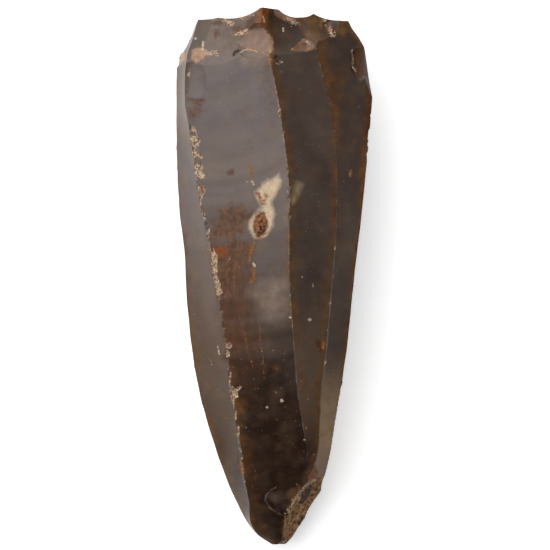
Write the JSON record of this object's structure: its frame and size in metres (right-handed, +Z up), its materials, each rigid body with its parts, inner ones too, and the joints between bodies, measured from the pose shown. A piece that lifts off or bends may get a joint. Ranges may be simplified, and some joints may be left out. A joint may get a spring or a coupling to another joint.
{
  "type": "blade core",
  "caption": "Half-conical flint core with long blade scars meeting in arrises, a trimmed striking platform and a blunt tip with cortex, lying on its flat back.",
  "frame": {"origin": "middle of the footprint of the whole stone, on the surface that it lies on", "axes": "+Y from the tip to the striking platform, +Z up out of the knapped face, +X to the right of that face"},
  "size_m": [0.051, 0.1401, 0.032],
  "materials": {
    "flint": "satin, as knapped, with rust stains, chalk inclusions and a patch of rough cortex at the tip"
  },
  "bodies": {
    "root": {"blade_core": "flint"}
  },
  "joints": []
}
